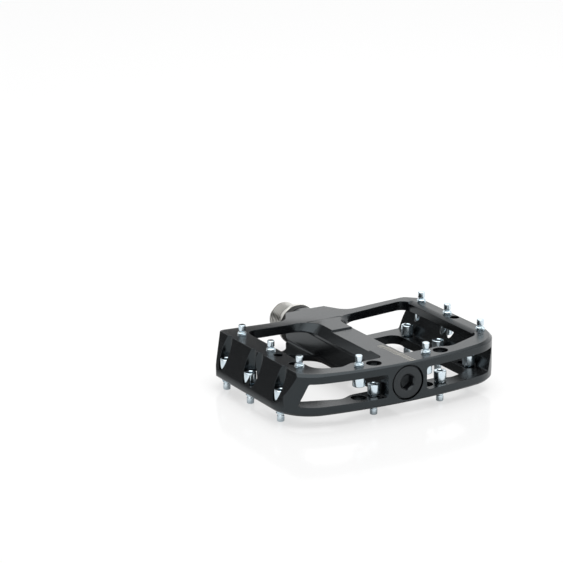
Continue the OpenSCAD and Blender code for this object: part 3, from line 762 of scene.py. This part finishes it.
def place_camera():
    """The photograph's camera. Gives the directions that it looks along and that lie to its right."""
    level = math.cos(CAMERA_PITCH)
    forward = Vector((
        math.sin(CAMERA_YAW) * level, math.cos(CAMERA_YAW) * level, -math.sin(CAMERA_PITCH),
    ))
    right = Vector((math.cos(CAMERA_YAW), -math.sin(CAMERA_YAW), 0))
    up = right.cross(forward)
    across = math.cos(CAMERA_ROLL) * right + math.sin(CAMERA_ROLL) * up
    upright = across.cross(forward)
    camera = bpy.data.cameras.new("camera")
    camera.sensor_width = SENSOR_MM
    camera.lens = FOCAL_PX / IMAGE_PX * SENSOR_MM
    camera.clip_start, camera.clip_end = CLIP_M
    eye = new_object("camera", camera)
    turn = Matrix((across, upright, -forward)).transposed()
    eye.matrix_world = Matrix.Translation(CAMERA_MM * MM) @ turn.to_4x4()
    bpy.context.scene.camera = eye
    return forward, right


def light_studio(forward, right):
    """White surroundings with one dark side, a dimmer ceiling, and a broad soft lamp overhead."""
    world = bpy.data.worlds.new("studio")
    world.use_nodes = True
    tree = world.node_tree
    dark_side = (DARK_AHEAD * forward - right).normalized()
    direction = add(tree, "ShaderNodeTexCoord").outputs["Generated"]
    height = add(tree, "ShaderNodeSeparateXYZ", {0: direction}).outputs[2]
    side = add(tree, "ShaderNodeVectorMath", {0: direction, 1: dark_side}, operation="DOT_PRODUCT")
    aside = add(tree, "ShaderNodeMapRange", {
        "Value": side.outputs["Value"], 1: DARK_SIDE[0], 2: DARK_SIDE[1],
    }, interpolation_type="SMOOTHSTEP")
    low = add(tree, "ShaderNodeMapRange", {
        "Value": height, 1: DARK_TOP[0], 2: DARK_TOP[1], 3: 1, 4: 0,
    }, interpolation_type="SMOOTHSTEP")
    dark = add(tree, "ShaderNodeMath", {0: aside.outputs[0], 1: low.outputs[0]}, operation="MULTIPLY")
    wall = add(tree, "ShaderNodeMapRange", {"Value": dark.outputs[0], 3: WALL_GLOW, 4: DARK_GLOW})
    dim = add(tree, "ShaderNodeMapRange", {
        "Value": height, 1: CEILING[0], 2: CEILING[1], 3: 1, 4: CEILING_GLOW,
    }, interpolation_type="SMOOTHSTEP")
    bright = add(tree, "ShaderNodeMapRange", {
        "Value": height, 1: OVERHEAD[0], 2: OVERHEAD[1], 3: 0, 4: OVERHEAD_GLOW,
    }, interpolation_type="SMOOTHSTEP")
    room = add(tree, "ShaderNodeMath", {
        0: wall.outputs[0], 1: dim.outputs[0], 2: bright.outputs[0],
    }, operation="MULTIPLY_ADD")
    path = add(tree, "ShaderNodeLightPath").outputs
    seen = add(tree, "ShaderNodeMix", {0: path["Is Glossy Ray"], 2: AMBIENT, 3: room.outputs[0]})
    clear = add(tree, "ShaderNodeMath", {
        0: path["Is Camera Ray"], 1: path["Is Transmission Ray"],
    }, operation="MAXIMUM")
    strength = add(tree, "ShaderNodeMath", {
        0: clear.outputs[0], 1: seen.outputs[0],
    }, operation="MAXIMUM")
    tree.links.new(strength.outputs[0], tree.nodes["Background"].inputs["Strength"])
    tree.nodes["Background"].inputs["Color"].default_value = (1, 1, 1, 1)
    bpy.context.scene.world = world
    lamp = bpy.data.lights.new("softbox", "AREA")
    lamp.shape = "RECTANGLE"
    lamp.size, lamp.size_y = LAMP_SIZE
    lamp.energy = LAMP_WATTS
    box = new_object("softbox", lamp)
    box.visible_glossy = False
    box.location = LAMP_AT
    box.rotation_euler = (LAMP_AIM - LAMP_AT).to_track_quat("-Z", "Y").to_euler()


def stand_flag():
    """A card above the nose that only near reflections see, so that it leaves the floor white."""
    made, tree, shader, _ = surface(
        "grey_card", Metallic=0, Roughness=1, Specular_IOR_Level=0, Base_Color=linear("#808080"),
    )
    path = add(tree, "ShaderNodeLightPath").outputs
    gone = add(tree, "ShaderNodeMapRange", {
        "Value": path["Ray Length"], 1: FLAG_FADE[0] * MM, 2: FLAG_FADE[1] * MM,
    })
    clear = add(tree, "ShaderNodeBsdfTransparent")
    both = add(tree, "ShaderNodeMixShader", {
        0: gone.outputs[0], 1: shader.outputs[0], 2: clear.outputs[0],
    })
    tree.links.new(both.outputs[0], tree.nodes["Material Output"].inputs["Surface"])
    mesh = bpy.data.meshes.new("flag")
    places = [(*at, z) for z in FLAG_Z for at in (FLAG_FROM, FLAG_TO)]
    mesh.from_pydata([Vector(place) * MM for place in places], [], [(0, 1, 3, 2)])
    mesh.materials.append(made)
    flag = new_object("flag", mesh)
    flag.visible_camera = False
    flag.visible_diffuse = False
    flag.visible_shadow = False
    flag.visible_transmission = False


def lay_floor(material):
    """A square of floor at the height of the lowest pins."""
    low = cad_box[0][2]
    signs = ((-1, -1), (1, -1), (1, 1), (-1, 1))
    mesh = bpy.data.meshes.new("floor")
    mesh.from_pydata([(x * FLOOR_M, y * FLOOR_M, low) for x, y in signs], [], [(0, 1, 2, 3)])
    mesh.materials.append(material)
    new_object("floor", mesh)


def build():
    """Dresses the pedal and sets it in the studio."""
    steel, zinc = turned_steel(), zinc_plated_steel()
    bearing, rubber = ground_bearing_steel(), nitrile_rubber()
    brass = pressed_brass()
    platform = platform_piece(black_anodised_aluminium())
    spindle_piece(steel)
    dust_seal_piece(rubber)
    end_cap_piece(black_anodised_turned_cap())
    pin_pieces(zinc)
    mark_pieces(platform, etched_mark())
    finishes = {
        "plain_bush": bearing_polymer(), "lock_washer": zinc, "lock_nut": zinc,
        "end_cap_o_ring": rubber,
    }
    bearing_parts = {
        "outer_race": bearing, "inner_race": bearing, "balls": bearing, "cage": brass,
        "shields": rubber,
    }
    for place in ("inboard", "outboard"):
        for part, material in bearing_parts.items():
            finishes[place + "_bearing_" + part] = material
    dress_inner_nodes(finishes)
    lay_floor(white_gloss_floor())
    stand_flag()
    light_studio(*place_camera())


bpy.context.scene.view_settings.view_transform = "Standard"
build()
